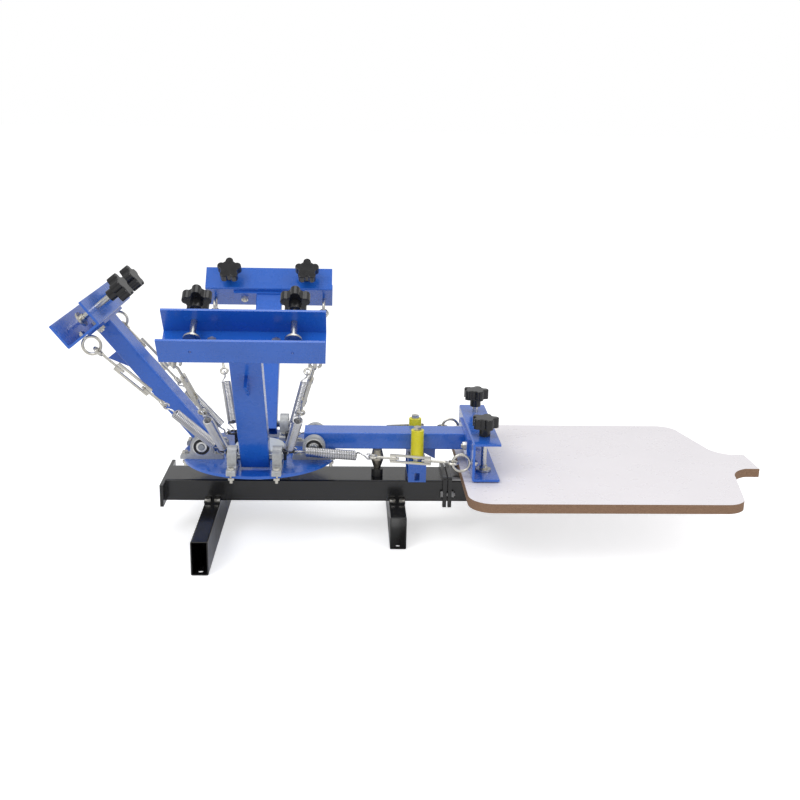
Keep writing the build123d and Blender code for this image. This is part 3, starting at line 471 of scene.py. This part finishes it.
def tube(shell, points, radius, sides):
    """A closed tube along the points, with frames that don't twist."""
    ways = []
    for index in range(len(points)):
        before = points[max(0, index - 1)]
        after = points[min(len(points) - 1, index + 1)]
        ways.append((after - before).normalized())
    normal = ways[0].orthogonal().normalized()
    rings = []
    for point, way in zip(points, ways):
        normal = (normal - way * normal.dot(way)).normalized()
        other = way.cross(normal)
        ring = []
        for side in range(sides):
            angle = 2 * math.pi * side / sides
            spoke = normal * math.cos(angle) + other * math.sin(angle)
            ring.append(shell.verts.new(point + spoke * radius))
        rings.append(ring)
    for ring, following in zip(rings, rings[1:]):
        for side in range(sides):
            nearby = (side + 1) % sides
            shell.faces.new((ring[side], ring[nearby], following[nearby], following[side]))
    shell.faces.new(reversed(rings[0]))
    shell.faces.new(rings[-1])


def make_springs(name):
    """Both close-wound springs of an arm, stretching between the anchors and the turnbuckles."""
    shell = bmesh.new()
    for side in (-1, 1):
        start, axes, length = side_axes(name, side)
        tube(shell, [start + axes @ point for point in spring_line(length)], WIRE, WIRE_SIDES)
    mesh = bpy.data.meshes.new(f"close_springs_{name}")
    shell.to_mesh(mesh)
    shell.free()
    for face in mesh.polygons:
        face.use_smooth = True
    piece = bpy.data.objects.new(f"close_springs_{name}", mesh)
    bpy.context.collection.objects.link(piece)
    mesh.materials.append(bright)
    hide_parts(f"springs_{name}")
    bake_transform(piece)


for name in HEADINGS:
    make_springs(name)


# Stage
def make_floor():
    mesh = bpy.data.meshes.new("studio_floor")
    reach = FLOOR_REACH
    corners = [(-reach, -reach, 0), (reach, -reach, 0), (reach, reach, 0), (-reach, reach, 0)]
    mesh.from_pydata(corners, [], [(0, 1, 2, 3)])
    floor = bpy.data.objects.new("studio_floor", mesh)
    bpy.context.collection.objects.link(floor)
    made, tree, shader = start_material("pale_floor")
    stops = [(0.2, (0.80, 0.80, 0.80)), (0.8, (0.84, 0.84, 0.84))]
    tree.links.new(ramp(tree, noise(tree, 3.0), stops), shader.inputs["Base Color"])
    shader.inputs["Roughness"].default_value = 0.85
    glow = node(tree, "ShaderNodeEmission", Strength=FLOOR_GLOW)
    path = tree.nodes.new("ShaderNodeLightPath")
    lit = tree.nodes.new("ShaderNodeMixShader")
    both = tree.nodes.new("ShaderNodeAddShader")
    tree.links.new(shader.outputs["BSDF"], both.inputs[0])
    tree.links.new(glow.outputs["Emission"], both.inputs[1])
    tree.links.new(path.outputs["Is Camera Ray"], lit.inputs[0])
    tree.links.new(shader.outputs["BSDF"], lit.inputs[1])
    tree.links.new(both.outputs["Shader"], lit.inputs[2])
    tree.links.new(lit.outputs["Shader"], tree.nodes["Material Output"].inputs["Surface"])
    mesh.materials.append(made)


def make_light(name, place, target, size, power):
    data = bpy.data.lights.new(name, "AREA")
    data.shape = "DISK"
    data.size = size
    data.energy = power
    lamp = bpy.data.objects.new(name, data)
    lamp.location = place
    lamp.rotation_euler = (Vector(target) - Vector(place)).to_track_quat("-Z", "Y").to_euler()
    bpy.context.collection.objects.link(lamp)


def make_world():
    world = bpy.data.worlds.new("studio")
    world.use_nodes = True
    tree = world.node_tree
    back = tree.nodes["Background"]
    path = tree.nodes.new("ShaderNodeLightPath")
    back.inputs["Color"].default_value = (1.0, 1.0, 1.0, 1.0)
    strength = mix(tree, path.outputs["Is Camera Ray"], WORLD_STRENGTH, BACKDROP_STRENGTH, "FLOAT")
    tree.links.new(strength, back.inputs["Strength"])
    bpy.context.scene.world = world


def make_camera():
    """The photograph's eye point, direction and field of view."""
    yaw, pitch, roll = CAMERA_YAW, CAMERA_PITCH, CAMERA_ROLL
    forward = Vector((math.sin(yaw) * math.cos(pitch), math.cos(yaw) * math.cos(pitch), -math.sin(pitch)))
    right = Vector((math.cos(yaw), -math.sin(yaw), 0))
    up = right.cross(forward)
    turned_right = right * math.cos(roll) + up * math.sin(roll)
    turned_up = up * math.cos(roll) - right * math.sin(roll)
    data = bpy.data.cameras.new("photo_view")
    data.sensor_width = CAMERA_SENSOR
    data.lens = CAMERA_LENS
    camera = bpy.data.objects.new("photo_view", data)
    axes = Matrix((turned_right, turned_up, -forward)).transposed().to_4x4()
    camera.matrix_world = Matrix.Translation(CAMERA_PLACE) @ axes
    bpy.context.collection.objects.link(camera)
    bpy.context.scene.camera = camera


make_floor()
for lamp in LAMPS:
    make_light(*lamp)
make_world()
make_camera()
bpy.context.scene.view_settings.view_transform = "Standard"
